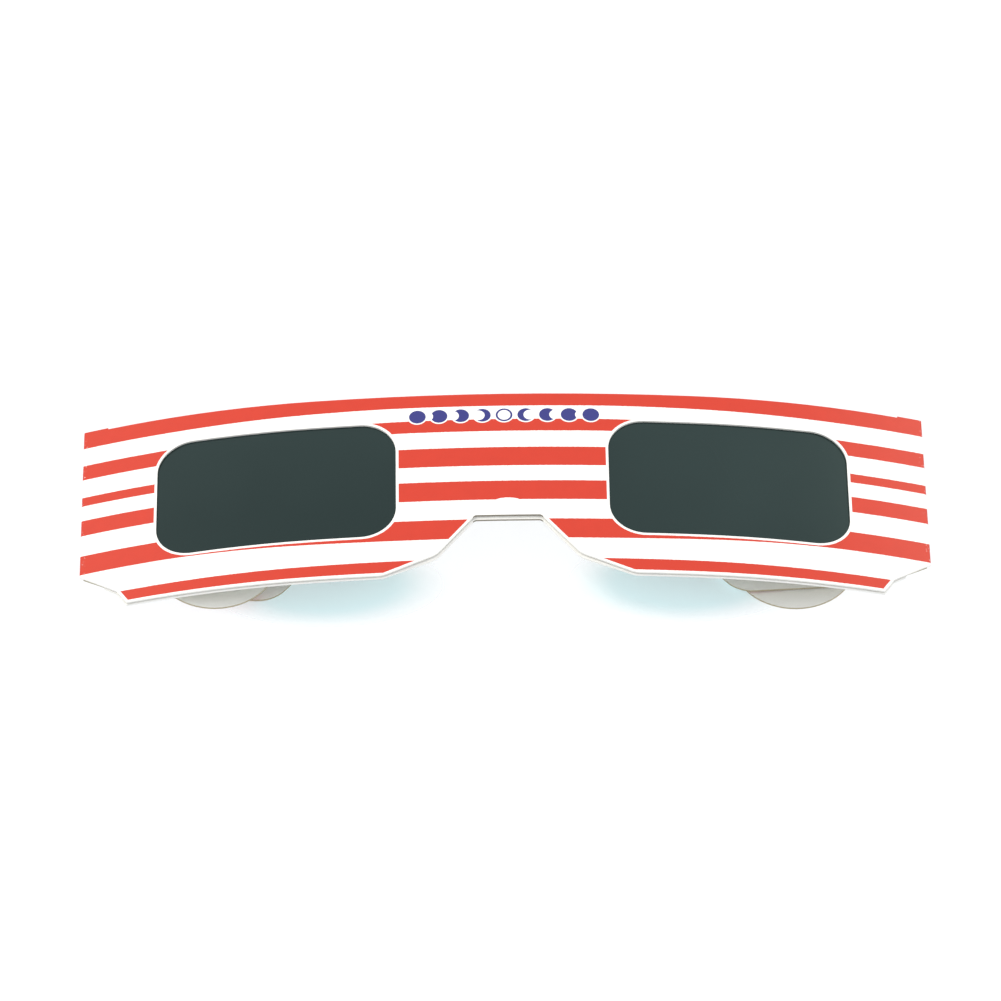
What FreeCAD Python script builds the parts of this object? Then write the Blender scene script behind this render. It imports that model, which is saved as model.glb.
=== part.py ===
"""Folding card glasses for looking at the sun, lying face up with both temples folded under the front.

Millimetres. +X runs along the front, +Y runs up the card from the nose notch to the top fold, and +Z stands
on the table. The origin is on the table, under the middle of the whole folded object.

The real thing is one die-cut card blank with two pieces of filter film and the adhesive that holds them.
The blank is split here where it is scored and folded: front ply, top fold, back ply, two creases, two temples.
"""
import FreeCAD, Part

import math
import os

from FreeCAD import Vector

# Plies, from the printed face down
CARD = 0.36
FILM = 0.12
FILM_TACK = 0.08

# Front panel, crease to crease as it is bowed
FRONT_CHORD = 145.3
FRONT_HEIGHT = 40.0
CORNER_CUT_WIDTH = 8.0
CORNER_CUT_HEIGHT = 7.4
CORNER_BEND_LENGTH = 6.2
CORNER_BEND_HEIGHT = 2.9

# Bow of the front: a flat arc over the nose runs into a tighter arc at each end
BOW_NOSE_RADIUS = 400.0
BOW_NOSE_HALF_WIDTH = 33.0
BOW_END_RADIUS = 183.0

# Viewing openings, cut a little to the left of the middle
OPENING_WIDTH = 41.3
OPENING_HEIGHT = 25.1
OPENING_CORNER = 6.2
OPENING_SPACING = 77.9
OPENING_OFFSET = -0.25
OPENING_BELOW_TOP = 6.3
BACK_OPENING_MARGIN = 0.6
FILM_LAP = 3.0
FILM_CORNER = 2.0
FILM_TO_EDGE = 1.9

# Nose notch, cut a little to the right of the middle
NOTCH_OFFSET = 0.6
NOTCH_TOP_WIDTH = 11.4
NOTCH_HEIGHT = 12.5
NOTCH_BEND_WIDTH = 24.6
NOTCH_BEND_HEIGHT = 4.1
NOTCH_MOUTH_WIDTH = 43.0
NOTCH_CORNER = 0.8
NOTCH_BEND_CORNER = 4.0

# Back ply: it peeps out below the front ply, more so in the notch, and stops short of the creases
BACK_DROP = 0.15
BACK_NOTCH_DROP = 0.6
BACK_SHORT_OF_CREASE = 4.0
GLUE_INSET = 0.8
GLUE_TO_FILM = 0.4

# Creases: the strip of front card beside the fold, and the running gap of the temple round the fold
CREASE_STRIP = 1.0
FOLD_GAP = 0.05

# Temples, measured from their crease and from the bottom edge of the front
TIP_SHORT_OF_FAR_CREASE = 12.2
TEMPLE_ROOT_BOTTOM = 3.6
TEMPLE_ROOT_SLOPE_LENGTH = 8.5
TEMPLE_ROOT_SLOPE_CORNER = 9.0
TEMPLE_FLARE_LENGTH = 33.0
TEMPLE_FLARE_BOTTOM = 2.1
TEMPLE_FLARE_CORNER = 6.0
TEMPLE_NECK_LENGTH = 48.5
TEMPLE_NECK_CORNER = 12.0
ARM_HEIGHT = 19.0
HOOK_WIDTH = 21.6
HOOK_DROP = 1.1
HOOK_THROAT_CORNER = 9.0
TIP_TOP_CORNER = 14.0

# How the folded temples lie: the left one flat on the table, the right one on top of it
INNER_TEMPLE_RISE_DEG = 0.9
TEMPLE_CLEARANCE = 0.12

# Sizes that follow from the ones above
HALF_CHORD = FRONT_CHORD / 2
PLY_GAP = FILM + FILM_TACK
FRONT_THICKNESS = 2 * CARD + PLY_GAP
FOLD_DEPTH = FRONT_THICKNESS / 2
BACK_HALF_WIDTH = HALF_CHORD - BACK_SHORT_OF_CREASE
OPENING_CENTRE_Y = FRONT_HEIGHT - OPENING_BELOW_TOP - OPENING_HEIGHT / 2
TEMPLE_LENGTH = FRONT_CHORD - TIP_SHORT_OF_FAR_CREASE
CREASE_LIFT_FROM_RISE = TIP_SHORT_OF_FAR_CREASE * math.tan(math.radians(INNER_TEMPLE_RISE_DEG))
RIGHT_CREASE_LIFT = max(0.0, CARD + TEMPLE_CLEARANCE - CREASE_LIFT_FROM_RISE)
FRONT_TURN_DEG = math.degrees(math.asin(RIGHT_CREASE_LIFT / FRONT_CHORD))
MIDDLE_Y = (FRONT_HEIGHT - HOOK_DROP) / 2
PAST_EDGE = 2.0

LEFT_AXIS = Vector(-HALF_CHORD, 0, CARD)
RIGHT_AXIS = Vector(
    FRONT_CHORD * math.cos(math.radians(FRONT_TURN_DEG)) - HALF_CHORD, 0, CARD + RIGHT_CREASE_LIFT
)
ALONG_CREASE = Vector(0, 1, 0)


class Bow:
    """The curve of the front, taken on the face of the front ply that passes through both crease axes."""

    def __init__(self):
        self.nose_angle = math.asin(BOW_NOSE_HALF_WIDTH / BOW_NOSE_RADIUS)
        self.end_centre_x = BOW_NOSE_HALF_WIDTH * (1 - BOW_END_RADIUS / BOW_NOSE_RADIUS)
        self.end_angle = math.asin((HALF_CHORD - self.end_centre_x) / BOW_END_RADIUS)
        self.back_angle = math.asin((BACK_HALF_WIDTH - self.end_centre_x) / BOW_END_RADIUS)
        self.end_centre_z = CARD - BOW_END_RADIUS * math.cos(self.end_angle)
        reach = (BOW_NOSE_RADIUS - BOW_END_RADIUS) * math.cos(self.nose_angle)
        self.nose_centre_z = self.end_centre_z - reach

    def on_nose(self, angle, proud):
        """A point of the middle arc, standing proud of the curve by the given amount."""
        radius = BOW_NOSE_RADIUS + proud
        return Vector(radius * math.sin(angle), 0, self.nose_centre_z + radius * math.cos(angle))

    def on_end(self, angle, proud):
        """A point of an end arc; a negative angle gives the left one."""
        radius = BOW_END_RADIUS + proud
        x = self.end_centre_x + radius * math.sin(abs(angle))
        return Vector(math.copysign(x, angle), 0, self.end_centre_z + radius * math.cos(angle))

    def angle_before_end(self, distance):
        """The angle on an end arc at a straight distance from the crease axis."""
        return self.end_angle - 2 * math.asin(distance / (2 * BOW_END_RADIUS))

    def curve(self, proud, last_angle):
        """The three arcs of the bow from left to right, standing proud of the curve."""
        knee = self.nose_angle
        halfway = (knee + last_angle) / 2
        knots = [
            (self.on_end(-last_angle, proud), self.on_end(-halfway, proud), self.on_nose(-knee, proud)),
            (self.on_nose(-knee, proud), self.on_nose(0, proud), self.on_nose(knee, proud)),
            (self.on_nose(knee, proud), self.on_end(halfway, proud), self.on_end(last_angle, proud)),
        ]
        return [Part.Arc(*points).toShape() for points in knots]

    def band(self, low, high, last_angle, bottom, top):
        """A bowed sheet between two faces, extruded up the card."""
        under = self.curve(low, last_angle)
        over = self.curve(high, last_angle)
        ends = [
            Part.makeLine(self.on_end(side * last_angle, low), self.on_end(side * last_angle, high))
            for side in (-1, 1)
        ]
        wire = Part.Wire(Part.__sortEdges__(under + over + ends))
        sheet = Part.Face(wire).extrude(Vector(0, top - bottom, 0))
        sheet.translate(Vector(0, bottom, 0))
        return sheet


BOW = Bow()


def rounded_face(corners):
    """A flat face in XY through (x, y, radius) corners, each rounded as far as its sides allow."""
    turns = []
    for i, (x, y, radius) in enumerate(corners):
        here = Vector(x, y, 0)
        back = Vector(*corners[i - 1][:2], 0) - here
        on = Vector(*corners[(i + 1) % len(corners)][:2], 0) - here
        half = back.getAngle(on) / 2
        radius = min(radius, math.tan(half) * min(back.Length, on.Length) / 2)
        back.normalize()
        on.normalize()
        to_centre = (back + on).normalize()
        run = radius / math.tan(half)
        deep = radius / math.sin(half) - radius
        turns.append((here + back * run, here + to_centre * deep, here + on * run))
    edges = []
    for i, (start, middle, end) in enumerate(turns):
        if turns[i - 1][2].distanceToPoint(start) > 1e-6:
            edges.append(Part.makeLine(turns[i - 1][2], start))
        if start.distanceToPoint(end) > 1e-6:
            edges.append(Part.Arc(start, middle, end).toShape())
    return Part.Face(Part.Wire(edges))


def rectangle(centre_x, centre_y, width, height, corner):
    """A flat rounded rectangle about its centre."""
    left, right = centre_x - width / 2, centre_x + width / 2
    low, high = centre_y - height / 2, centre_y + height / 2
    return rounded_face([(left, low, corner), (right, low, corner), (right, high, corner), (left, high, corner)])


def prism(face):
    """A cutter with the face's outline, taller than the whole bow."""
    tall = 2 * (BOW.on_nose(0, CARD).z + PAST_EDGE)
    cutter = face.copy()
    cutter.translate(Vector(0, 0, -tall / 2))
    return cutter.extrude(Vector(0, 0, tall))


def front_outline(half_width, bottom, top, notch_drop=0):
    """The outline shared by both plies: cut lower corners and the nose notch."""
    bend_x = HALF_CHORD - CORNER_BEND_LENGTH
    slope = (CORNER_CUT_HEIGHT - CORNER_BEND_HEIGHT) / CORNER_BEND_LENGTH
    right = [
        (half_width, top, 0),
        (half_width, bottom + CORNER_BEND_HEIGHT + (half_width - bend_x) * slope, 0),
        (bend_x, bottom + CORNER_BEND_HEIGHT, 0),
        (HALF_CHORD - CORNER_CUT_WIDTH, bottom, 0),
        (NOTCH_OFFSET + NOTCH_MOUTH_WIDTH / 2, bottom, NOTCH_BEND_CORNER),
        (NOTCH_OFFSET + NOTCH_BEND_WIDTH / 2, NOTCH_BEND_HEIGHT - notch_drop, NOTCH_BEND_CORNER),
        (NOTCH_OFFSET + NOTCH_TOP_WIDTH / 2, NOTCH_HEIGHT - notch_drop, NOTCH_CORNER),
    ]
    left = [
        (2 * NOTCH_OFFSET - x if abs(x - NOTCH_OFFSET) <= NOTCH_MOUTH_WIDTH / 2 else -x, y, r)
        for x, y, r in reversed(right)
    ]
    return rounded_face(right + left)


def at_openings(make):
    """The same shape at the left and the right opening."""
    return [make(OPENING_OFFSET + side * OPENING_SPACING / 2) for side in (-1, 1)]


def opening_prisms(margin):
    """Cutters for the two viewing openings, each larger than the opening by the margin all round."""
    return at_openings(
        lambda x: prism(
            rectangle(
                x,
                OPENING_CENTRE_Y,
                OPENING_WIDTH + 2 * margin,
                OPENING_HEIGHT + 2 * margin,
                OPENING_CORNER + margin,
            )
        )
    )


def fold_slot():
    """The room taken out of the front ply's top edge, where the card turns over to the back."""
    low, high = -PAST_EDGE, CARD + PAST_EDGE
    return BOW.band(low, high, BOW.back_angle, FRONT_HEIGHT - FOLD_DEPTH, FRONT_HEIGHT + PAST_EDGE)


def front_panel():
    """The printed front ply, with its openings, nose notch and cut corners."""
    last = BOW.angle_before_end(CREASE_STRIP)
    sheet = BOW.band(0, CARD, last, -PAST_EDGE, FRONT_HEIGHT + PAST_EDGE)
    sheet = sheet.common(prism(front_outline(HALF_CHORD + PAST_EDGE, 0, FRONT_HEIGHT)))
    return sheet.cut([fold_slot(), *opening_prisms(0)])


def back_panel():
    """The plain back ply that the front is folded over onto."""
    sheet = BOW.band(-PLY_GAP - CARD, -PLY_GAP, BOW.back_angle, -PAST_EDGE, FRONT_HEIGHT)
    outline = front_outline(HALF_CHORD, -BACK_DROP, FRONT_HEIGHT - FOLD_DEPTH, BACK_NOTCH_DROP)
    return sheet.common(prism(outline)).cut(opening_prisms(BACK_OPENING_MARGIN))


def fold_stretch(centre, radius, first_angle, last_angle):
    """One stretch of the top fold: a half-round section turned about the centre of one arc of the bow."""
    bottom = FRONT_HEIGHT - FOLD_DEPTH

    def at(proud, y):
        reach = radius + proud
        return centre + Vector(reach * math.sin(first_angle), y, reach * math.cos(first_angle))

    back, face = at(-PLY_GAP - CARD, bottom), at(CARD, bottom)
    crown = at(CARD - FOLD_DEPTH, FRONT_HEIGHT)
    section = Part.Face(Part.Wire([Part.Arc(back, crown, face).toShape(), Part.makeLine(face, back)]))
    return section.revolve(centre, ALONG_CREASE, math.degrees(last_angle - first_angle))


def top_fold():
    """The rounded fold along the top edge, from the front ply over to the back ply."""
    left_centre = Vector(-BOW.end_centre_x, 0, BOW.end_centre_z)
    right_centre = Vector(BOW.end_centre_x, 0, BOW.end_centre_z)
    nose_centre = Vector(0, 0, BOW.nose_centre_z)
    left = fold_stretch(left_centre, BOW_END_RADIUS, -BOW.back_angle, -BOW.nose_angle)
    middle = fold_stretch(nose_centre, BOW_NOSE_RADIUS, -BOW.nose_angle, BOW.nose_angle)
    right = fold_stretch(right_centre, BOW_END_RADIUS, BOW.nose_angle, BOW.back_angle)
    return left.fuse([middle, right])


def inside_plies(inset):
    """The outline that both plies share beside the fold, drawn in by an inset."""
    return front_outline(BACK_HALF_WIDTH, 0, FRONT_HEIGHT - FOLD_DEPTH).makeOffset2D(-inset)


def film_prism(x, margin=0):
    """The outline of one piece of film, the opening and the lap round it, or a cutter larger by a margin."""
    width = OPENING_WIDTH + 2 * (FILM_LAP + margin)
    height = OPENING_HEIGHT + 2 * (FILM_LAP + margin)
    piece = prism(rectangle(x, OPENING_CENTRE_Y, width, height, FILM_CORNER + margin))
    return piece.common(prism(inside_plies(FILM_TO_EDGE - margin)))


def panel_glue():
    """The adhesive layer that closes the front ply onto the back ply, all round both films."""
    sheet = BOW.band(-PLY_GAP, 0, BOW.end_angle, -PAST_EDGE, FRONT_HEIGHT)
    windows = at_openings(lambda x: film_prism(x, GLUE_TO_FILM))
    return sheet.common(prism(inside_plies(GLUE_INSET))).cut(windows)


def filters():
    """The two pieces of film, lying against the back of the front ply."""
    sheet = BOW.band(-FILM, 0, BOW.end_angle, 0, FRONT_HEIGHT)
    return [sheet.common(outline) for outline in at_openings(film_prism)]


def filter_tacks():
    """The ring of adhesive that holds each film on the back ply, outside the opening."""
    sheet = BOW.band(-PLY_GAP, -FILM, BOW.end_angle, 0, FRONT_HEIGHT)
    holes = opening_prisms(BACK_OPENING_MARGIN)
    return [sheet.common(outline).cut(hole) for outline, hole in zip(at_openings(film_prism), holes)]


def crease(side):
    """One fold of the card: a round bead on the crease axis and the strip beside it in the front ply."""
    axis = BOW.on_end(side * BOW.end_angle, 0)
    seam = side * BOW.angle_before_end(CREASE_STRIP)
    halfway = side * BOW.angle_before_end(CREASE_STRIP / 2)
    root = BOW.on_end(side * BOW.angle_before_end(CARD), 0)
    outer = BOW.on_end(side * BOW.end_angle, CARD)
    round_from = axis - (BOW.on_end(side * BOW.end_angle, CARD) - axis + root - axis) * math.sqrt(0.5)
    between = BOW.on_end(side * BOW.angle_before_end((CARD + CREASE_STRIP) / 2), 0)
    wire = Part.Wire(
        [
            Part.Arc(BOW.on_end(seam, CARD), BOW.on_end(halfway, CARD), outer).toShape(),
            Part.Arc(outer, round_from, root).toShape(),
            Part.Arc(root, between, BOW.on_end(seam, 0)).toShape(),
            Part.makeLine(BOW.on_end(seam, 0), BOW.on_end(seam, CARD)),
        ]
    )
    strip = Part.Face(wire).extrude(Vector(0, FRONT_HEIGHT, 0))
    return strip.common(prism(front_outline(HALF_CHORD + PAST_EDGE, 0, FRONT_HEIGHT)))


def temple_outline():
    """One temple seen flat, with its crease at x = 0: root flare, neck, arm and ear hook."""
    arm_bottom = FRONT_HEIGHT - ARM_HEIGHT
    throat = TEMPLE_LENGTH - HOOK_WIDTH
    hook_corner = HOOK_WIDTH / 2
    return rounded_face(
        [
            (0, FRONT_HEIGHT, 0),
            (0, CORNER_CUT_HEIGHT, 0),
            (TEMPLE_ROOT_SLOPE_LENGTH, TEMPLE_ROOT_BOTTOM, TEMPLE_ROOT_SLOPE_CORNER),
            (TEMPLE_FLARE_LENGTH, TEMPLE_FLARE_BOTTOM, TEMPLE_FLARE_CORNER),
            (TEMPLE_NECK_LENGTH, arm_bottom, TEMPLE_NECK_CORNER),
            (throat, arm_bottom, HOOK_THROAT_CORNER),
            (throat, -HOOK_DROP, hook_corner),
            (TEMPLE_LENGTH, -HOOK_DROP, hook_corner),
            (TEMPLE_LENGTH, FRONT_HEIGHT, TIP_TOP_CORNER),
        ]
    )


def flat_temple():
    """A left temple folded flat, its upper face through the crease axis, its root hollowed round the bead."""
    plate = temple_outline().extrude(Vector(0, 0, CARD))
    plate.translate(Vector(0, 0, -CARD))
    start = Vector(0, -PAST_EDGE, 0)
    bead = Part.makeCylinder(CARD + FOLD_GAP, FRONT_HEIGHT + 2 * PAST_EDGE, start, ALONG_CREASE)
    return plate.cut(bead)


def left_temple():
    """The outer temple, flat on the table."""
    plate = flat_temple()
    plate.translate(LEFT_AXIS)
    return plate


def right_temple():
    """The inner temple, folded first, so that it rises over the tip of the left one."""
    plate = flat_temple().mirror(Vector(0, 0, 0), Vector(1, 0, 0))
    plate.rotate(Vector(0, 0, 0), ALONG_CREASE, INNER_TEMPLE_RISE_DEG)
    plate.translate(RIGHT_AXIS)
    return plate


def as_it_lies(shape):
    """Turns a piece of the front about the left crease, because its right end lies on both temples."""
    shape.rotate(LEFT_AXIS, ALONG_CREASE, -FRONT_TURN_DEG)
    return shape


def main():
    """Builds every piece, sets the origin under the middle and writes one file for each piece."""
    left_film, right_film = filters()
    left_tack, right_tack = filter_tacks()
    front = {
        "front_panel": front_panel(),
        "top_fold": top_fold(),
        "back_panel": back_panel(),
        "panel_glue": panel_glue(),
        "left_filter": left_film,
        "right_filter": right_film,
        "left_filter_tack": left_tack,
        "right_filter_tack": right_tack,
        "left_crease": crease(-1),
        "right_crease": crease(1),
    }
    pieces = {name: as_it_lies(shape) for name, shape in front.items()}
    pieces["left_temple"] = left_temple()
    pieces["right_temple"] = right_temple()

    os.makedirs("parts", exist_ok=True)
    box = FreeCAD.BoundBox()
    for name, shape in pieces.items():
        shape.translate(Vector(0, -MIDDLE_Y, 0))
        box.add(shape.BoundBox)
        shape.exportStep(f"parts/{name}.step")
        print(f"{name}: {len(shape.Solids)} solid, valid {shape.isValid()}, {shape.Volume:.1f} mm3")
    print(f"box X {box.XMin:.3f} {box.XMax:.3f} Y {box.YMin:.3f} {box.YMax:.3f} Z {box.ZMin:.3f} {box.ZMax:.3f}")
    print(f"left crease axis {LEFT_AXIS}, right crease axis {RIGHT_AXIS}")
    print(f"slope of the front at its creases {math.degrees(BOW.end_angle):.2f} degrees")
    print(f"turn of the front {FRONT_TURN_DEG:.3f} degrees, lift {RIGHT_CREASE_LIFT:.3f}")


main()
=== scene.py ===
"""Looks of a folding pair of card glasses for looking at the sun, lying face up on its folded temples.

The construction comes from the frame. This script gives each panel its finish: the striped print and the cut
edges of the coated board, the plain board inside, and the filter film. It adds the row of small printed discs
over the nose, the table, the light and the camera.
"""
from __future__ import annotations

import logging
import math
from dataclasses import dataclass, field
from enum import Enum
from typing import Any, Mapping, Sequence

import bmesh
import bpy
from mathutils import Matrix, Vector

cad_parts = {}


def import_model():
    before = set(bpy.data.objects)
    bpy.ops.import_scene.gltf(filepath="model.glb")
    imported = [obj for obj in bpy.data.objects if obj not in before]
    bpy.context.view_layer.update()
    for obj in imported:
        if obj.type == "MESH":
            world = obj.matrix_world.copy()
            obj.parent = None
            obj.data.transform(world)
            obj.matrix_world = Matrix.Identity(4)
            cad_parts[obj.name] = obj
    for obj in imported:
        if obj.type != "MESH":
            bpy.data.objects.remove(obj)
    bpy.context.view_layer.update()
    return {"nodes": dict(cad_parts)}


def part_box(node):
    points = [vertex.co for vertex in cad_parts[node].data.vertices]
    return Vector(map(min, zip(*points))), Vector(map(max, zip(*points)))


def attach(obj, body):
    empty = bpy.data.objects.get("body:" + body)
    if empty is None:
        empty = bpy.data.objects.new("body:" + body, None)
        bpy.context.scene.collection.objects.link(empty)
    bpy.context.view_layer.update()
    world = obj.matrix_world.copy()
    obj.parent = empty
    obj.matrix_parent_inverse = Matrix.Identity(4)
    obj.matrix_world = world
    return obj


LOG = logging.getLogger("card_glasses")
MM = 0.001

MATH = "ShaderNodeMath"
VECTOR_MATH = "ShaderNodeVectorMath"
SEPARATE = "ShaderNodeSeparateXYZ"
COMBINE = "ShaderNodeCombineXYZ"
COORDINATE = "ShaderNodeTexCoord"
MAP_RANGE = "ShaderNodeMapRange"
NOISE = "ShaderNodeTexNoise"
PRINCIPLED = "ShaderNodeBsdfPrincipled"
MATERIAL_OUTPUT = "ShaderNodeOutputMaterial"

# The Mix node has one set of sockets for numbers and another for colours, told apart by their numbers.
MIX = "ShaderNodeMix"
SHARE = 0
FIRST_NUMBER, SECOND_NUMBER = 2, 3
FIRST_COLOUR, SECOND_COLOUR = 6, 7
MIXED_COLOUR = 2

WHITE = (1.0, 1.0, 1.0, 1.0)

Tree = bpy.types.NodeTree
Socket = bpy.types.NodeSocket
Material = bpy.types.Material
Pair = tuple[float, float]
Triple = tuple[float, float, float]
Colour = tuple[float, float, float, float]


def linear(hex_colour: str) -> Colour:
    """Turns an sRGB hex colour into linear red, green, blue and alpha.

    Args:
        hex_colour: six hex digits after a hash, such as "#e65441".

    Returns:
        The linear colour with an alpha of 1.
    """
    channels = [int(hex_colour[i : i + 2], 16) / 255 for i in (1, 3, 5)]
    turned = [c / 12.92 if c <= 0.04045 else ((c + 0.055) / 1.055) ** 2.4 for c in channels]
    return turned[0], turned[1], turned[2], 1.0


def shade(hex_colour: str, factor: float) -> Colour:
    """Brightens or darkens a colour.

    Args:
        hex_colour: the sRGB hex colour.
        factor: what its linear channels are multiplied by, up to full white.

    Returns:
        The linear colour.
    """
    red, green, blue, alpha = linear(hex_colour)
    return min(1.0, red * factor), min(1.0, green * factor), min(1.0, blue * factor), alpha


def add_node(
    tree: Tree,
    kind: str,
    inputs: Mapping[Any, Any] | Sequence[Any] = (),
    out: int | str | None = 0,
    **settings: Any,
) -> Any:
    """Adds one node with its settings, values and links.

    Args:
        tree: the node tree that gets the node.
        kind: the node's type name.
        inputs: values or sockets, by input name or number, or in order.
        out: which output to return, or None for the node.
        **settings: attributes of the node, set before its inputs.

    Returns:
        The chosen output socket, or the node itself where out is None.
    """
    node = tree.nodes.new(kind)
    for name, value in settings.items():
        setattr(node, name, value)
    pairs = inputs.items() if isinstance(inputs, Mapping) else enumerate(inputs)
    for key, value in pairs:
        if isinstance(value, bpy.types.NodeSocket):
            tree.links.new(value, node.inputs[key])
        else:
            node.inputs[key].default_value = value
    return node if out is None else node.outputs[out]


def empty_material(name: str) -> tuple[Material, Tree]:
    """Starts a material.

    Args:
        name: what the finish is called.

    Returns:
        The material and its node tree, without nodes.
    """
    material = bpy.data.materials.new(name)
    material.use_nodes = True
    material.node_tree.nodes.clear()
    return material, material.node_tree


def dress(node: bpy.types.Object, material: Material) -> None:
    """Puts one material on every face of a node that came with the frame."""
    node.data.materials.clear()
    node.data.materials.append(material)


class Side(Enum):
    """The two ends of the glasses, as seen from in front of them on the table."""

    LEFT = -1
    RIGHT = 1

    @property
    def word(self) -> str:
        """The side's name as the frame's nodes spell it."""
        return self.name.lower()


class Facing(Enum):
    """Which way a sheet's printed face points at rest."""

    UP = (0.0, 0.0, 1.0)
    DOWN = (0.0, 0.0, -1.0)
    PAST_LEFT_CREASE = (-0.988, 0.0, 0.156)
    PAST_RIGHT_CREASE = (0.988, 0.0, 0.156)


@dataclass(frozen=True)
class Card:
    """Sizes of the card in millimetres, and the shape of its bow and outline."""

    thickness: float = 0.36
    height: float = 40.0
    half_chord: float = 72.65
    nose_radius: float = 400.0
    nose_half_width: float = 33.0
    end_radius: float = 183.0
    turn_deg: float = 0.114
    notch_offset: float = 0.6
    notch_top_half: float = 5.7
    notch_height: float = 12.5
    notch_bend_half: float = 12.3
    notch_bend_height: float = 4.1
    notch_mouth_half: float = 21.5
    corner_cut: float = 8.0
    corner_bend: float = 6.2
    corner_bend_height: float = 2.9
    opening_offset: float = -0.25
    opening_spacing: float = 77.9
    opening_width: float = 41.3
    opening_height: float = 25.1
    opening_corner: float = 6.2
    opening_below_top: float = 6.3

    @property
    def opening_y(self) -> float:
        """Height of the openings' centre above the bottom edge."""
        return self.height - self.opening_below_top - self.opening_height / 2

    @property
    def nose_centre_z(self) -> float:
        """Height of the centre of the bow's middle arc above the table."""
        end_centre_x = self.nose_half_width * (1 - self.end_radius / self.nose_radius)
        end_angle = math.asin((self.half_chord - end_centre_x) / self.end_radius)
        nose_angle = math.asin(self.nose_half_width / self.nose_radius)
        end_centre_z = self.thickness - self.end_radius * math.cos(end_angle)
        return end_centre_z - (self.nose_radius - self.end_radius) * math.cos(nose_angle)

    @property
    def front_turn(self) -> Matrix:
        """The small turn of the front about its left crease, in metres."""
        left_axis = Vector((-self.half_chord * MM, 0.0, self.thickness * MM))
        turn = Matrix.Rotation(-math.radians(self.turn_deg), 4, "Y")
        return Matrix.Translation(left_axis) @ turn @ Matrix.Translation(-left_axis)


CARD = Card()


@dataclass(frozen=True)
class Stripe:
    """One printed stripe: its edges' heights over the nose and at the creases, in mm from the bottom."""

    top_mid: float
    low_mid: float
    top_end: float
    low_end: float


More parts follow.
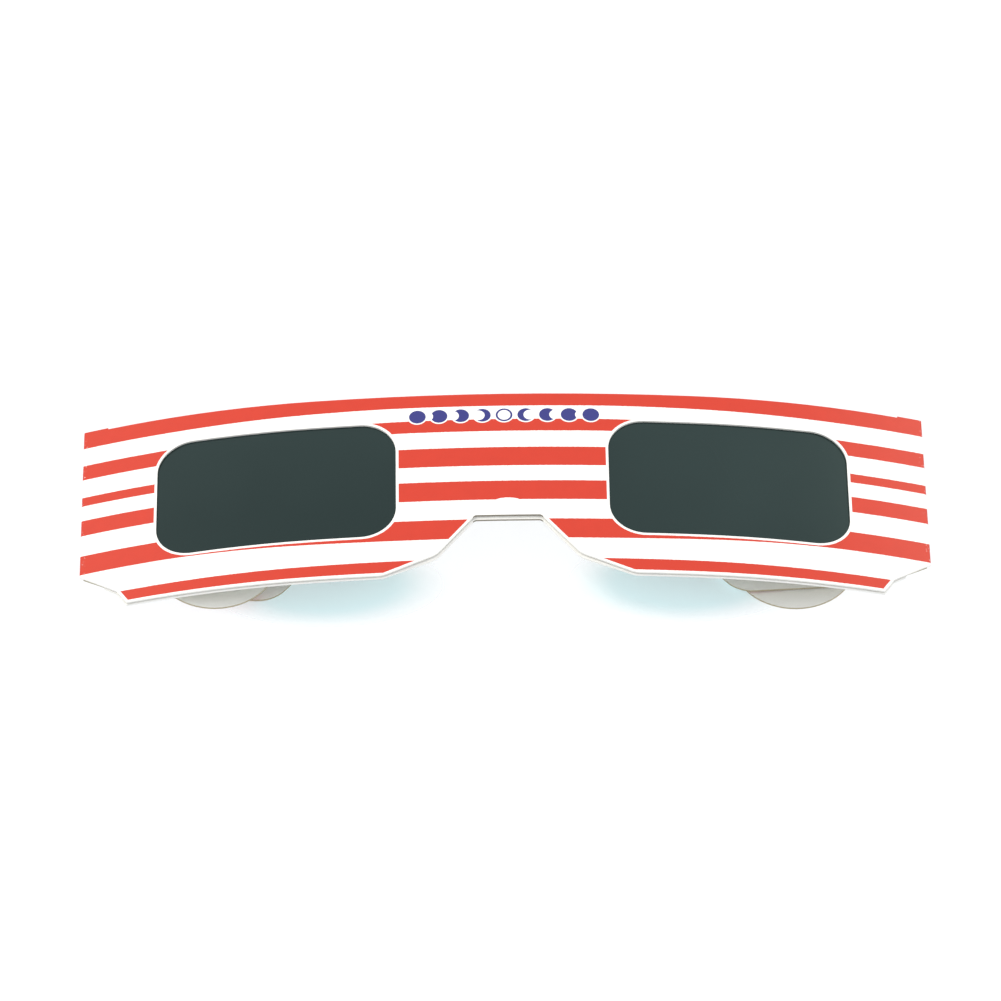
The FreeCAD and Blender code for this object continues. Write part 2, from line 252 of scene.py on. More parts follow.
@dataclass(frozen=True)
class StripePrint:
    """The six red stripes, from the top edge down, and where the print keeps clear of cut edges."""

    stripes: tuple[Stripe, ...] = (
        Stripe(60.0, 37.0, 60.0, 36.3),
        Stripe(34.0, 31.3, 32.4, 29.2),
        Stripe(27.65, 23.5, 25.2, 23.25),
        Stripe(20.1, 15.9, 20.0, 16.6),
        Stripe(11.6, 7.35, 12.1, 7.95),
        Stripe(2.9, 0.5, 2.65, 0.45),
    )
    swing_from: float = 15.0
    swing_to: float = 62.0
    opening_margin: float = 0.45
    notch_margin: float = 0.4
    corner_margin: float = 0.42
    ink_wander: float = 0.05
    ink_wander_size: float = 0.5
    nick_half_width: float = 2.2
    nick_height: float = 0.7
    nick_y: float = 15.6
    wear_width: float = 0.5
    wear_size: float = 0.28
    wear_share: float = 0.68

    def mask(self, tree: Tree, point: Socket, level: bool) -> Socket:
        """Builds the nodes that are 1 on a stripe and 0 beside it.

        Args:
            tree: the material's node tree.
            point: place on the sheet in mm, Y from the bottom edge.
            level: True on a temple, where the stripes run on at their crease heights.

        Returns:
            The mask's socket.
        """
        apart = add_node(tree, SEPARATE, (point,), out=None)
        x, y = apart.outputs[0], apart.outputs[1]
        wander = add_node(tree, NOISE, {"Vector": point, "Scale": 1 / self.ink_wander_size, "Detail": 1.0})
        off_centre = add_node(tree, MATH, (wander, 0.5), operation="SUBTRACT")
        y = add_node(tree, MATH, (off_centre, 2 * self.ink_wander, y), operation="MULTIPLY_ADD")
        away = add_node(tree, MATH, (x,), operation="ABSOLUTE")
        swing: Any = 1.0
        if not level:
            reach = {"Value": away, "From Min": self.swing_from, "From Max": self.swing_to}
            swing = add_node(tree, MAP_RANGE, reach, interpolation_type="SMOOTHSTEP")
        mask: Any = 0.0
        for stripe in self.stripes:
            top, low = (
                add_node(tree, MIX, {SHARE: swing, FIRST_NUMBER: mid, SECOND_NUMBER: end}, data_type="FLOAT")
                for mid, end in ((stripe.top_mid, stripe.top_end), (stripe.low_mid, stripe.low_end))
            )
            under = add_node(tree, MATH, (y, top), operation="LESS_THAN")
            over = add_node(tree, MATH, (y, low), operation="GREATER_THAN")
            inside = add_node(tree, MATH, (under, over), operation="MULTIPLY")
            mask = add_node(tree, MATH, (mask, inside), operation="MAXIMUM")
        clears = [self.clear_of_wear(tree, point, away)]
        if not level:
            clears += [self.clear_of_openings(tree, x, y), self.clear_of_corners(tree, away, y)]
            clears += [*self.clear_of_notch(tree, x, y), self.clear_of_nick(tree, x, y)]
        for clear in clears:
            mask = add_node(tree, MATH, (mask, clear), operation="MULTIPLY")
        return mask

    def clear_of_wear(self, tree: Tree, point: Socket, away: Socket) -> Socket:
        """Leaves out the small cracks of the ink where the card is folded at its creases.

        Args:
            tree: the material's node tree.
            point: place on the sheet in mm.
            away: distance from the middle, in mm.

        Returns:
            A mask that is 0 in a crack.
        """
        speck = add_node(tree, NOISE, {"Vector": point, "Scale": 1 / self.wear_size, "Detail": 3.0})
        cracked = add_node(tree, MATH, (speck, self.wear_share), operation="GREATER_THAN")
        beside = add_node(tree, MATH, (away, CARD.half_chord), operation="SUBTRACT")
        at_fold = add_node(tree, MATH, (beside, 0.0, self.wear_width), operation="COMPARE")
        both = add_node(tree, MATH, (cracked, at_fold), operation="MULTIPLY")
        return add_node(tree, MATH, (1.0, both), operation="SUBTRACT")

    def clear_of_openings(self, tree: Tree, x: Socket, y: Socket) -> Socket:
        """Leaves the white rim round both openings.

        Args:
            tree: the material's node tree.
            x: place along the card, in mm.
            y: height above the bottom edge, in mm.

        Returns:
            A mask that is 1 further from both openings than the rim's width.
        """
        centred = add_node(tree, MATH, (x, CARD.opening_offset), operation="SUBTRACT")
        folded = add_node(tree, MATH, (centred,), operation="ABSOLUTE")
        across = add_node(tree, MATH, (folded, CARD.opening_spacing / 2), operation="SUBTRACT")
        up = add_node(tree, MATH, (y, CARD.opening_y), operation="SUBTRACT")
        place = add_node(tree, COMBINE, (across, up, 0.0))
        corner = CARD.opening_corner
        core = (CARD.opening_width / 2 - corner, CARD.opening_height / 2 - corner, 0.0)
        folded_place = add_node(tree, VECTOR_MATH, (place,), operation="ABSOLUTE")
        beyond = add_node(tree, VECTOR_MATH, (folded_place, core), operation="SUBTRACT")
        outside = add_node(tree, VECTOR_MATH, (beyond, (0.0, 0.0, 0.0)), operation="MAXIMUM")
        reach = add_node(tree, VECTOR_MATH, (outside,), out="Value", operation="LENGTH")
        return add_node(tree, MATH, (reach, corner + self.opening_margin), operation="GREATER_THAN")

    def clear_of_slant(
        self, tree: Tree, away: Socket, y: Socket, low: Vector, high: Vector, margin: float
    ) -> Socket:
        """Leaves a white rim beside a slanting cut.

        Args:
            tree: the material's node tree.
            away: distance from the middle, in mm.
            y: height above the bottom edge, in mm.
            low: the slant's lower end.
            high: the slant's upper end.
            margin: the rim's width, in mm.

        Returns:
            A mask that is 1 further than the rim above or outside the slant.
        """
        along = (high - low).normalized()
        normal = Vector((abs(along.y), abs(along.x)))
        if along.x > 0:
            normal.x = -normal.x
        east = add_node(tree, MATH, (away, normal.x), operation="MULTIPLY")
        reach = add_node(tree, MATH, (y, normal.y, east), operation="MULTIPLY_ADD")
        return add_node(tree, MATH, (reach, normal.dot(low) + margin), operation="GREATER_THAN")

    def clear_of_notch(self, tree: Tree, x: Socket, y: Socket) -> list[Socket]:
        """Leaves the white rim along both slants of the nose notch.

        Args:
            tree: the material's node tree.
            x: place along the card, in mm.
            y: height above the bottom edge, in mm.

        Returns:
            A mask for the steep slant, which ends above the notch, and one for the shallow slant.
        """
        centred = add_node(tree, MATH, (x, CARD.notch_offset), operation="SUBTRACT")
        folded = add_node(tree, MATH, (centred,), operation="ABSOLUTE")
        bend = Vector((CARD.notch_bend_half, CARD.notch_bend_height))
        top = Vector((CARD.notch_top_half, CARD.notch_height))
        mouth = Vector((CARD.notch_mouth_half, 0.0))
        steep = self.clear_of_slant(tree, folded, y, bend, top, self.notch_margin)
        above = add_node(tree, MATH, (y, CARD.notch_height + 2 * self.notch_margin), operation="GREATER_THAN")
        steep = add_node(tree, MATH, (steep, above), operation="MAXIMUM")
        return [steep, self.clear_of_slant(tree, folded, y, mouth, bend, self.notch_margin)]

    def clear_of_corners(self, tree: Tree, away: Socket, y: Socket) -> Socket:
        """Leaves the white rim along the slanting cuts at the lower corners.

        Args:
            tree: the material's node tree.
            away: distance from the middle, in mm.
            y: height above the bottom edge, in mm.

        Returns:
            A mask that is 0 on the rim and beyond it.
        """
        low = Vector((CARD.half_chord - CARD.corner_cut, 0.0))
        high = Vector((CARD.half_chord - CARD.corner_bend, CARD.corner_bend_height))
        clear = self.clear_of_slant(tree, away, y, low, high, self.corner_margin)
        limit = CARD.corner_bend_height + self.corner_margin
        above = add_node(tree, MATH, (y, limit), operation="GREATER_THAN")
        return add_node(tree, MATH, (clear, above), operation="MAXIMUM")

    def clear_of_nick(self, tree: Tree, x: Socket, y: Socket) -> Socket:
        """Leaves out the small white half-moon in the stripe above the notch.

        Args:
            tree: the material's node tree.
            x: place along the card, in mm.
            y: height above the bottom edge, in mm.

        Returns:
            A mask that is 1 outside the half-moon.
        """
        across = add_node(tree, MATH, (x, CARD.notch_offset), operation="SUBTRACT")
        across = add_node(tree, MATH, (across, self.nick_half_width), operation="DIVIDE")
        up = add_node(tree, MATH, (y, self.nick_y), operation="SUBTRACT")
        up = add_node(tree, MATH, (up, self.nick_height), operation="DIVIDE")
        place = add_node(tree, COMBINE, (across, up, 0.0))
        reach = add_node(tree, VECTOR_MATH, (place,), out="Value", operation="LENGTH")
        return add_node(tree, MATH, (reach, 1.0), operation="GREATER_THAN")


@dataclass(frozen=True)
class CoatedBoard:
    """Folding boxboard, clay-coated and offset-printed on one face, and die-cut.

    The coated face is even and faintly satin. The other face is uncoated, so it is duller, with a fine fibre.
    The cut edges show the fibre, and those along the top of the notch are painted grey: painted shade between
    the plies.
    """

    name: str
    facing: Facing
    printed_beyond: float = 0.5
    inside_below: float = -0.5
    level_print: bool = False
    red: str = "#cf3822"
    coat_white: str = "#fbfaf8"
    inside_white: str = "#f7f6f0"
    cut_edge: str = "#fbf8f2"
    # Painted shade: grey on the cut edges along the top of the notch.
    notch_edge: str = "#8d867a"
    ink_shades: Pair = (0.95, 1.05)
    inside_shades: Pair = (0.94, 1.04)
    cut_shades: Pair = (0.88, 1.1)
    ior: float = 1.45
    specular: float = 0.4
    coat_roughness: float = 0.42
    inside_roughness: float = 0.85
    fibre_size: float = 0.35
    fibre_depth: float = 0.02
    fibre_strength: float = 0.12
    ink_mottle_size: float = 2.2
    dust_past_notch: float = 0.3
    dust_below_notch_top: float = 0.4
    dust_half_height: float = 0.6
    print_pattern: StripePrint = field(default_factory=StripePrint)

    def build(self) -> Material:
        """Makes the board's material from its colours, print and grain.

        Returns:
            The material.
        """
        material, tree = empty_material(self.name)
        place = add_node(tree, COORDINATE, out="Object")
        normal = add_node(tree, COORDINATE, out="Normal")
        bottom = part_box("front_panel")[0].y
        low = add_node(tree, VECTOR_MATH, (place, (0.0, -bottom, 0.0)), operation="ADD")
        point = add_node(tree, VECTOR_MATH, {0: low, "Scale": 1 / MM}, operation="SCALE")
        facing = (normal, self.facing.value)
        turned = add_node(tree, VECTOR_MATH, facing, out="Value", operation="DOT_PRODUCT")
        printed = add_node(tree, MATH, (turned, self.printed_beyond), operation="GREATER_THAN")
        inside = add_node(tree, MATH, (turned, self.inside_below), operation="LESS_THAN")
        stripes = self.print_pattern.mask(tree, point, self.level_print)
        fibre_look = {"Vector": point, "Scale": 1 / self.fibre_size, "Detail": 6.0, "Roughness": 0.7}
        fibre = add_node(tree, NOISE, fibre_look)
        mottle = add_node(tree, NOISE, {"Vector": point, "Scale": 1 / self.ink_mottle_size, "Detail": 4.0})

        ink = self._uneven(tree, mottle, self.red, self.ink_shades)
        inner = self._uneven(tree, fibre, self.inside_white, self.inside_shades)
        cut = self._uneven(tree, fibre, self.cut_edge, self.cut_shades)
        notch_shaded = self._notch_dust(tree, point, turned)
        face = self._choose(tree, stripes, linear(self.coat_white), ink)
        # Painted shade: the cut edges along the top of the notch take the grey.
        cut = self._choose(tree, notch_shaded, cut, linear(self.notch_edge))
        colour = self._choose(tree, printed, cut, face)
        colour = self._choose(tree, inside, colour, inner)
        dull, satin = self.inside_roughness, self.coat_roughness
        sheens = {SHARE: printed, FIRST_NUMBER: dull, SECOND_NUMBER: satin}
        rough = add_node(tree, MIX, sheens, data_type="FLOAT")
        relief = {"Strength": self.fibre_strength, "Distance": self.fibre_depth * MM, "Height": fibre}
        bump = add_node(tree, "ShaderNodeBump", relief)
        look = {"Base Color": colour, "Roughness": rough, "Normal": bump, "IOR": self.ior}
        shader = add_node(tree, PRINCIPLED, {**look, "Specular IOR Level": self.specular})
        add_node(tree, MATERIAL_OUTPUT, {"Surface": shader}, out=None)
        return material

    @staticmethod
    def _choose(tree: Tree, share: Socket, off: Any, on: Any) -> Socket:
        """Takes one colour where the mask is 0 and the other where it is 1."""
        shades = {SHARE: share, FIRST_COLOUR: off, SECOND_COLOUR: on}
        return add_node(tree, MIX, shades, out=MIXED_COLOUR, data_type="RGBA")

    def _uneven(self, tree: Tree, grain: Socket, colour: str, shades: Pair) -> Socket:
        """Varies a colour between a darker and a lighter shade by a grain."""
        return self._choose(tree, grain, shade(colour, shades[0]), shade(colour, shades[1]))

    def _notch_dust(self, tree: Tree, point: Socket, turned: Socket) -> Socket:
        """Finds the cut edges along the top of the nose notch, where grey is painted as shade.

        Args:
            tree: the material's node tree.
            point: place on the sheet in mm, Y from the bottom edge.
            turned: how far the face points the way of the printed side.

        Returns:
            A mask that is 1 on those edges.
        """
        apart = add_node(tree, SEPARATE, (point,), out=None)
        x, y = apart.outputs[0], apart.outputs[1]
        half_width = CARD.notch_top_half + self.dust_past_notch
        middle = CARD.notch_height - self.dust_below_notch_top
        across = add_node(tree, MATH, (x, CARD.notch_offset, half_width), operation="COMPARE")
        beside = add_node(tree, MATH, (y, middle, self.dust_half_height), operation="COMPARE")
        edge = add_node(tree, MATH, (turned, 0.0, 0.5), operation="COMPARE")
        both = add_node(tree, MATH, (across, beside), operation="MULTIPLY")
        return add_node(tree, MATH, (both, edge), operation="MULTIPLY")


@dataclass(frozen=True)
class FilterFilm:
    """Black polymer sun filter, extruded sheet: near black in depth, with a smooth face of greenish sheen.

    Its colour is painted lighter toward the upper right of the glasses, with a soft cloud in it: painted
    reflection.
    """

    name: str = "black_polymer_film"
    body: str = "#0c1110"
    bloom: str = "#1c2423"
    sheen: str = "#c4f2ee"
    roughness: float = 0.2
    ior: float = 1.52
    bloom_size: float = 26.0
    bloom_slope: Triple = (0.45 / 80, 0.9 / 40, 0.0)
    bloom_between: Pair = (0.1, 1.1)
    wave_size: float = 14.0
    wave_height: float = 0.012

    def build(self) -> Material:
        """Makes the film's material with its painted reflection and slight waviness.

        Returns:
            The material.
        """
        material, tree = empty_material(self.name)
        place = add_node(tree, COORDINATE, out="Object")
        point = add_node(tree, VECTOR_MATH, {0: place, "Scale": 1 / MM}, operation="SCALE")
        # Painted reflection: the film's colour grows lighter toward the upper right.
        slope = add_node(tree, VECTOR_MATH, (point, self.bloom_slope), out="Value", operation="DOT_PRODUCT")
        cloud = add_node(tree, NOISE, {"Vector": point, "Scale": 1 / self.bloom_size, "Detail": 2.0})
        amount = add_node(tree, MATH, (slope, cloud), operation="ADD")
        least, most = self.bloom_between
        glare_share = add_node(tree, MAP_RANGE, {"Value": amount, "From Min": least, "From Max": most})
        shades = {SHARE: glare_share, FIRST_COLOUR: linear(self.body), SECOND_COLOUR: linear(self.bloom)}
        colour = add_node(tree, MIX, shades, out=MIXED_COLOUR, data_type="RGBA")
        wave = add_node(tree, NOISE, {"Vector": point, "Scale": 1 / self.wave_size, "Detail": 2.0})
        relief = {"Strength": 1.0, "Distance": self.wave_height * MM, "Height": wave}
        bump = add_node(tree, "ShaderNodeBump", relief)
        look = {"Base Color": colour, "Roughness": self.roughness, "IOR": self.ior}
        shader = add_node(tree, PRINCIPLED, {**look, "Specular Tint": linear(self.sheen), "Normal": bump})
        add_node(tree, MATERIAL_OUTPUT, {"Surface": shader}, out=None)
        return material


@dataclass(frozen=True)
class PlainLayer:
    """A thin even layer, such as dried glue or clear tack, with a faint grain in its colour."""

    name: str
    colour: str
    roughness: float
    grain_size: float = 0.4
    grain_depth: float = 0.08

    def build(self) -> Material:
        """Makes the layer's material.

        Returns:
            The material.
        """
        material, tree = empty_material(self.name)
        place = add_node(tree, COORDINATE, out="Object")
        point = add_node(tree, VECTOR_MATH, {0: place, "Scale": 1 / MM}, operation="SCALE")
        grain = add_node(tree, NOISE, {"Vector": point, "Scale": 1 / self.grain_size, "Detail": 3.0})
        depths = {"Value": grain, "To Min": 1 - self.grain_depth, "To Max": 1 + self.grain_depth}
        brightness = add_node(tree, MAP_RANGE, depths)
        flat = {0: linear(self.colour)[:3], "Scale": brightness}
        colour = add_node(tree, VECTOR_MATH, flat, operation="SCALE")
        shader = add_node(tree, PRINCIPLED, {"Base Color": colour, "Roughness": self.roughness})
        add_node(tree, MATERIAL_OUTPUT, {"Surface": shader}, out=None)
        return material


@dataclass
class CardBlank:
    """The die-cut blank: the front ply, the top fold, the back ply and both temples, with their finishes."""

    nodes: dict[str, bpy.types.Object]
    fold_limit: float = -0.6
    crease_limit: float = -0.15
    never_printed: float = 2.0
    # Painted shade: the temples' cut edges are a darker khaki than the front's white ones.
    temple_cut_edge: str = "#b1a78c"
    boards: dict[str, CoatedBoard] = field(init=False)

    def __post_init__(self) -> None:
        """Makes the finishes of the panels."""
        fold = {"printed_beyond": self.fold_limit, "inside_below": self.fold_limit}
        crease = {"printed_beyond": self.crease_limit, "inside_below": self.crease_limit}
        temple = CoatedBoard(
            "striped_temple_board", Facing.DOWN, level_print=True, cut_edge=self.temple_cut_edge
        )
        self.boards = {
            "front_panel": CoatedBoard("striped_coated_board", Facing.UP),
            "top_fold": CoatedBoard("striped_fold_board", Facing.UP, **fold),
            "back_panel": CoatedBoard("back_board", Facing.UP, printed_beyond=self.never_printed),
            "left_crease": CoatedBoard("left_crease_board", Facing.PAST_LEFT_CREASE, **crease),
            "right_crease": CoatedBoard("right_crease_board", Facing.PAST_RIGHT_CREASE, **crease),
            "left_temple": temple,
            "right_temple": temple,
        }

    def dress_panels(self) -> None:
        """Gives each panel of the blank its board."""
        made: dict[str, Material] = {}
        for name, board in self.boards.items():
            if board.name not in made:
                made[board.name] = board.build()
            dress(self.nodes[name], made[board.name])
            LOG.info("%s: %s", name, board.name)


ROW_INPUTS = {
    "Count": "NodeSocketInt",
    "Pitch": "NodeSocketFloat",
    "Radius": "NodeSocketFloat",
    "Sides": "NodeSocketInt",
    "Thickness": "NodeSocketFloat",
    "Start": "NodeSocketVector",
    "Bow radius": "NodeSocketFloat",
    "Bow height": "NodeSocketFloat",
    "Ink": "NodeSocketMaterial",
}


@dataclass
class PhaseRow:
    """A row of small printed discs over the nose: the sun's phases through an eclipse, in navy ink.

    Each disc is a film of ink 0.02 mm thick that follows the bow of the front.
    """

    count: int = 9
    pitch: float = 3.75
    radius: float = 1.72
    disc_sides: int = 48
    height: float = 34.9
    centre_x: float = 0.2
    ink_thickness: float = 0.02
    ink_roughness: float = 0.42
    navy: str = "#272a7c"
    ground: str = "#fbfaf8"
    sun_share: float = 0.84
    moon_share: float = 0.64
    moon_travel: float = 1.65

    def material(self) -> Material:
        """Makes the offset ink: navy where the sun's disc is not covered by the moon's, white round it.

        Returns:
            The material.
        """
        material, tree = empty_material("navy_ink")
        place = add_node(tree, COORDINATE, out="Object")
        centre = (self.centre_x * MM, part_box("front_panel")[0].y + self.height * MM, 0.0)
        shifted = add_node(tree, VECTOR_MATH, (place, centre), operation="SUBTRACT")
        apart = add_node(tree, SEPARATE, (shifted,), out=None)
        steps = add_node(tree, MATH, (apart.outputs[0], self.pitch * MM), operation="DIVIDE")
        number = add_node(tree, MATH, (steps,), operation="ROUND")
        beside = add_node(tree, MATH, (steps, number), operation="SUBTRACT")
        across = add_node(tree, MATH, (beside, self.pitch / self.radius), operation="MULTIPLY")
        up = add_node(tree, MATH, (apart.outputs[1], self.radius * MM), operation="DIVIDE")
        sun = self._disc(tree, across, up, self.sun_share)
        travel = self.moon_travel / ((self.count - 1) / 2)
        passed = add_node(tree, MATH, (number, -travel, across), operation="MULTIPLY_ADD")
        moon = self._disc(tree, passed, up, self.moon_share)
        bare = add_node(tree, MATH, (1.0, moon), operation="SUBTRACT")
        inked = add_node(tree, MATH, (sun, bare), operation="MULTIPLY")
        shades = {SHARE: inked, FIRST_COLOUR: linear(self.ground), SECOND_COLOUR: linear(self.navy)}
        colour = add_node(tree, MIX, shades, out=MIXED_COLOUR, data_type="RGBA")
        shader = add_node(tree, PRINCIPLED, {"Base Color": colour, "Roughness": self.ink_roughness})
        add_node(tree, MATERIAL_OUTPUT, {"Surface": shader}, out=None)
        return material

    @staticmethod
    def _disc(tree: Tree, across: Socket, up: Socket, radius: float) -> Socket:
        """Builds a mask that is 1 inside a circle.

        Args:
            tree: the material's node tree.
            across: distance beside the circle's middle.
            up: distance above the circle's middle.
            radius: the circle's radius, in the same unit.

        Returns:
            The mask's socket.
        """
        place = add_node(tree, COMBINE, (across, up, 0.0))
        reach = add_node(tree, VECTOR_MATH, (place,), out="Value", operation="LENGTH")
        return add_node(tree, MATH, (reach, radius), operation="LESS_THAN")

    @staticmethod
    def _row_group() -> tuple[Tree, dict[str, str]]:
        """Builds the Geometry Nodes tree that repeats one flat disc and lays the row on the bow.

        Returns:
            The tree, and the socket identifier of each of its named inputs.
        """
        group = bpy.data.node_groups.new("phase_row", "GeometryNodeTree")
        identifiers = {
            name: group.interface.new_socket(name, in_out="INPUT", socket_type=kind).identifier
            for name, kind in ROW_INPUTS.items()
        }
        group.interface.new_socket("Geometry", in_out="OUTPUT", socket_type="NodeSocketGeometry")
        given = group.nodes.new("NodeGroupInput").outputs
        step = add_node(group, COMBINE, (given["Pitch"], 0.0, 0.0))
        places = {"Count": given["Count"], "Start Location": given["Start"], "Offset": step}
        line = add_node(group, "GeometryNodeMeshLine", places)
        flat = {"Vertices": given["Sides"], "Radius": given["Radius"], "Depth": given["Thickness"]}
        disc = add_node(group, "GeometryNodeMeshCylinder", flat)
        row = add_node(group, "GeometryNodeInstanceOnPoints", {"Points": line, "Instance": disc})
        real = add_node(group, "GeometryNodeRealizeInstances", (row,))
        here = add_node(group, "GeometryNodeInputPosition")
        apart = add_node(group, SEPARATE, (here,), out=None)
        x, y, z = apart.outputs
        squared = add_node(group, MATH, (x, x), operation="MULTIPLY")
        radius = given["Bow radius"]
        radius_squared = add_node(group, MATH, (radius, radius), operation="MULTIPLY")
        left_over = add_node(group, MATH, (radius_squared, squared), operation="SUBTRACT")
        root = add_node(group, MATH, (left_over,), operation="SQRT")
        raised = add_node(group, MATH, (root, given["Bow height"]), operation="ADD")
        height = add_node(group, MATH, (raised, z), operation="ADD")
        laid = add_node(group, COMBINE, (x, y, height))
        bowed = add_node(group, "GeometryNodeSetPosition", {"Geometry": real, "Position": laid})
        inked = {"Geometry": bowed, "Material": given["Ink"]}
        dressed = add_node(group, "GeometryNodeSetMaterial", inked)
        end = group.nodes.new("NodeGroupOutput")
        group.links.new(dressed, end.inputs["Geometry"])
        return group, identifiers

    def build(self) -> bpy.types.Object:
        """Makes the row as one plain mesh that rides on the front.

        Returns:
            The row's object.
        """
        half = (self.count - 1) / 2 * self.pitch
        row_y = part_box("front_panel")[0].y + self.height * MM
        values: dict[str, Any] = {
            "Count": self.count,
            "Pitch": self.pitch * MM,
            "Radius": self.radius * MM,
            "Sides": self.disc_sides,
            "Thickness": self.ink_thickness * MM,
            "Start": ((self.centre_x - half) * MM, row_y, self.ink_thickness / 2 * MM),
            "Bow radius": (CARD.nose_radius + CARD.thickness) * MM,
            "Bow height": CARD.nose_centre_z * MM,
            "Ink": self.material(),
        }
        carrier = bpy.data.objects.new("phase_row_carrier", bpy.data.meshes.new("phase_row_carrier"))
        bpy.context.scene.collection.objects.link(carrier)
        modifier = carrier.modifiers.new("phase_row", "NODES")
        modifier.node_group, identifiers = self._row_group()
        for name, value in values.items():
            modifier[identifiers[name]] = value
        seen = carrier.evaluated_get(bpy.context.evaluated_depsgraph_get())
        mesh = bpy.data.meshes.new_from_object(seen)
        bpy.data.objects.remove(carrier)
        mesh.transform(CARD.front_turn)
        piece = bpy.data.objects.new("phase_discs", mesh)
        bpy.context.scene.collection.objects.link(piece)
        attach(piece, "front")
        LOG.info("phase_discs: %d discs, %d faces", self.count, len(mesh.polygons))
        return piece


@dataclass
class FilterSandwich:
    """What lies between the plies: two films, the tack that holds them and the glue round them."""

    nodes: dict[str, bpy.types.Object]
    film: FilterFilm = field(default_factory=FilterFilm)
    # Clear acrylic tack, rolled on: glossy and faintly yellow.
    tack: PlainLayer = PlainLayer("clear_film_tack", "#d9d3c1", 0.35)
    # Dried white paper glue, spread by a roller: milky and half dull.
    glue: PlainLayer = PlainLayer("dried_paper_glue", "#e6e2d6", 0.55)

    def dress_layers(self) -> None:
        """Gives each layer its finish."""
        film, tack = self.film.build(), self.tack.build()
        dress(self.nodes["panel_glue"], self.glue.build())
        for side in Side:
            dress(self.nodes[f"{side.word}_filter"], film)
            dress(self.nodes[f"{side.word}_filter_tack"], tack)
            LOG.info("%s filter: %s", side.word, film.name)


@dataclass(frozen=True)
class Lamp:
    """A round soft lamp that points at the glasses: place and width in metres, power in watts."""

    name: str
    place: Triple
    width: float
    watts: float


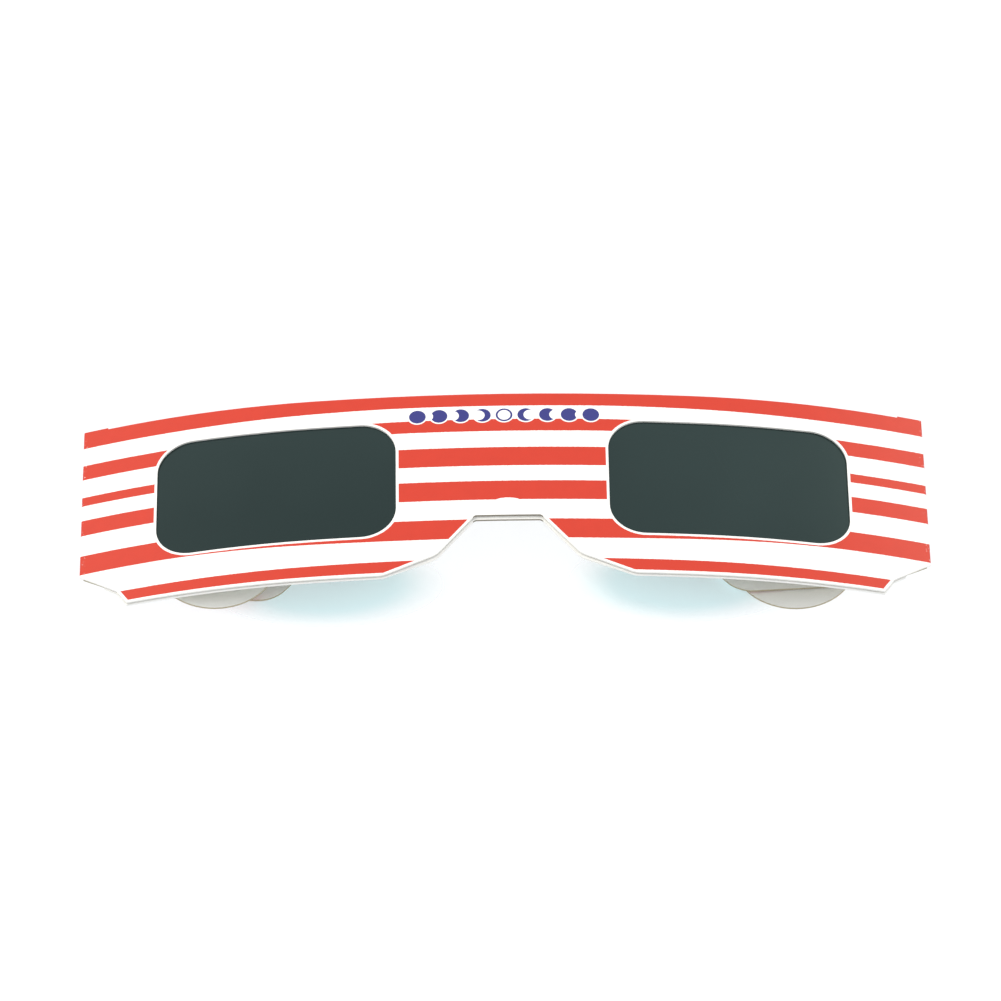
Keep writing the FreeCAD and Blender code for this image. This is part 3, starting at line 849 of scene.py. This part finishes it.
@dataclass
class PhotoStage:
    """The white table, the soft light and the camera of the photograph.

    Places and reaches on the table are in mm, and the camera's aim too. The camera stands in metres.
    """

    camera_elevation: float = 50.2
    camera_azimuth: float = -0.33
    camera_roll: float = -0.52
    camera_distance: float = 1.2
    focal_length: float = 250.0
    sensor_width: float = 36.0
    aim_right: float = -0.67
    aim_up: float = 3.46
    table_half: float = 1.6
    table_drop: float = 0.06
    table_body_share: float = 0.2
    table_reach: Pair = (84.0, 40.0)
    shaded_body: str = "#c6f6fb"
    shaded_share: float = 0.4
    shaded_place: Pair = (31.0, -13.8)
    shaded_reach: Pair = (18.5, 8.6)
    patch_rim: float = 1.25
    patch_core: float = 0.6
    surround: str = "#fbfdff"
    surround_strength: float = 1.1
    viewer_side_dimming: float = 0.34
    dimmed_between: Pair = (-0.1, -0.8)
    horizon_blend: float = 0.05
    lamp_colour: str = "#fff6e4"
    lamps: tuple[Lamp, ...] = (
        Lamp("soft_lamp", (-0.7, 0.35, 0.95), 0.4, 4.2),
        Lamp("sheen_lamp", (0.73, 0.79, 0.61), 0.35, 2.2),
    )

    def build_camera(self) -> None:
        """Places the camera as the photograph's viewing angle asks, aimed a little beside the origin."""
        angles = (self.camera_elevation, self.camera_azimuth, self.camera_roll)
        elevation, azimuth, roll = (math.radians(angle) for angle in angles)
        back_x = math.sin(azimuth) * math.cos(elevation)
        back_y = -math.cos(azimuth) * math.cos(elevation)
        back = Vector((back_x, back_y, math.sin(elevation)))
        level = Vector((math.cos(azimuth), math.sin(azimuth), 0.0))
        tall = back.cross(level)
        right = level * math.cos(roll) + tall * math.sin(roll)
        up = tall * math.cos(roll) - level * math.sin(roll)
        aim = right * self.aim_right * MM + up * self.aim_up * MM
        data = bpy.data.cameras.new("photo_camera")
        data.lens = self.focal_length
        data.sensor_width = self.sensor_width
        camera = bpy.data.objects.new("photo_camera", data)
        bpy.context.scene.collection.objects.link(camera)
        turn = Matrix((right, up, back)).transposed()
        camera.matrix_world = Matrix.Translation(aim + back * self.camera_distance) @ turn.to_4x4()
        bpy.context.scene.camera = camera

    def build_table(self) -> None:
        """Lays a white translucent table top, lit from below like a product table, just under the temples."""
        mesh = bpy.data.meshes.new("table_top")
        shape = bmesh.new()
        bmesh.ops.create_grid(shape, x_segments=1, y_segments=1, size=self.table_half)
        shape.to_mesh(mesh)
        shape.free()
        mesh.transform(Matrix.Translation((0.0, 0.0, -self.table_drop * MM)))
        mesh.materials.append(self._table_material())
        table = bpy.data.objects.new("table_top", mesh)
        bpy.context.scene.collection.objects.link(table)

    def _table_material(self) -> Material:
        """Makes opal acrylic, fading out away from the glasses. Under the front, where its shadow falls, two
        patches take more of the diffuse body and a pale blue colour: painted shade that deepens and tints the
        cast shadow.

        From below it is clear, so that it hides nothing of the opened temples.

        Returns:
            The material.
        """
        material, tree = empty_material("white_light_table")
        place = add_node(tree, COORDINATE, out="Object")
        point = add_node(tree, VECTOR_MATH, {0: place, "Scale": 1 / MM}, operation="SCALE")
        near = self._patch(tree, point, (0.0, 0.0), self.table_reach)
        apart = add_node(tree, SEPARATE, (point,), out=None)
        away = add_node(tree, MATH, (apart.outputs[0],), operation="ABSOLUTE")
        mirrored = add_node(tree, COMBINE, (away, apart.outputs[1], 0.0))
        # Painted shade: patches where the front's shadow falls, darker and pale blue.
        shaded = self._patch(tree, mirrored, self.shaded_place, self.shaded_reach)
        more = add_node(tree, MATH, (shaded, self.shaded_share), operation="MULTIPLY")
        share = add_node(tree, MATH, (near, self.table_body_share, more), operation="MULTIPLY_ADD")
        shades = {SHARE: shaded, FIRST_COLOUR: WHITE, SECOND_COLOUR: linear(self.shaded_body)}
        tint = add_node(tree, MIX, shades, out=MIXED_COLOUR, data_type="RGBA")
        glow = add_node(tree, "ShaderNodeBsdfTransparent")
        body = add_node(tree, "ShaderNodeBsdfDiffuse", {"Color": tint})
        top = add_node(tree, "ShaderNodeMixShader", {0: share, 1: glow, 2: body})
        behind = add_node(tree, "ShaderNodeNewGeometry", out="Backfacing")
        clear = add_node(tree, "ShaderNodeBsdfTransparent")
        surface = add_node(tree, "ShaderNodeMixShader", {0: behind, 1: top, 2: clear})
        add_node(tree, MATERIAL_OUTPUT, {"Surface": surface}, out=None)
        return material

    def _patch(self, tree: Tree, point: Socket, centre: Pair, reach: Pair) -> Socket:
        """Builds a mask that is 1 inside a soft-edged ellipse on the table and 0 well outside it.

        Args:
            tree: the material's node tree.
            point: place on the table in mm.
            centre: the ellipse's middle, in mm.
            reach: its half width and half depth, in mm.

        Returns:
            The mask's socket.
        """
        away = add_node(tree, VECTOR_MATH, (point, (*centre, 0.0)), operation="SUBTRACT")
        shrink = (1 / reach[0], 1 / reach[1], 0.0)
        flat = add_node(tree, VECTOR_MATH, (away, shrink), operation="MULTIPLY")
        distance = add_node(tree, VECTOR_MATH, (flat,), out="Value", operation="LENGTH")
        fade = {"Value": distance, "From Min": self.patch_rim, "From Max": self.patch_core}
        return add_node(tree, MAP_RANGE, fade, interpolation_type="SMOOTHSTEP")

    def build_light(self) -> None:
        """Lights the table from a white surround, dimmer behind the viewer, and from the soft lamps."""
        world = bpy.data.worlds.new("white_room")
        world.use_nodes = True
        tree = world.node_tree
        tree.nodes.clear()
        direction = add_node(tree, COORDINATE, out="Generated")
        apart = add_node(tree, SEPARATE, (direction,), out=None)
        first, last = self.dimmed_between
        backward = {"Value": apart.outputs[1], "From Min": first, "From Max": last}
        backward["To Max"] = self.viewer_side_dimming
        toward_viewer = add_node(tree, MAP_RANGE, backward, interpolation_type="SMOOTHSTEP")
        blend = self.horizon_blend
        above_table = add_node(
            tree, MAP_RANGE, {"Value": apart.outputs[2], "From Min": -blend, "From Max": blend}
        )
        dimming = add_node(tree, MATH, (toward_viewer, above_table), operation="MULTIPLY")
        share = add_node(tree, MATH, (1.0, dimming), operation="SUBTRACT")
        strength = add_node(tree, MATH, (share, self.surround_strength), operation="MULTIPLY")
        glow = {"Color": linear(self.surround), "Strength": strength}
        surround = add_node(tree, "ShaderNodeBackground", glow)
        add_node(tree, "ShaderNodeOutputWorld", {"Surface": surround}, out=None)
        bpy.context.scene.world = world
        for lamp in self.lamps:
            self._hang(lamp)

    def _hang(self, lamp: Lamp) -> None:
        """Hangs one lamp at its place, turned to the origin.

        Args:
            lamp: the lamp's name, place, width and power.
        """
        light = bpy.data.lights.new(lamp.name, "AREA")
        light.shape = "DISK"
        light.size = lamp.width
        light.energy = lamp.watts
        light.color = linear(self.lamp_colour)[:3]
        holder = bpy.data.objects.new(lamp.name, light)
        holder.location = lamp.place
        holder.rotation_euler = Vector(lamp.place).to_track_quat("Z", "Y").to_euler()
        bpy.context.scene.collection.objects.link(holder)


def main() -> None:
    """Builds the pieces in order and logs what each panel, the disc row and the filters get."""
    logging.basicConfig(level=logging.INFO, format="%(message)s")
    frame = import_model()
    bpy.context.scene.view_settings.view_transform = "Standard"
    CardBlank(frame["nodes"]).dress_panels()
    PhaseRow().build()
    FilterSandwich(frame["nodes"]).dress_layers()
    stage = PhotoStage()
    stage.build_camera()
    stage.build_table()
    stage.build_light()


if __name__ == "__main__":
    main()
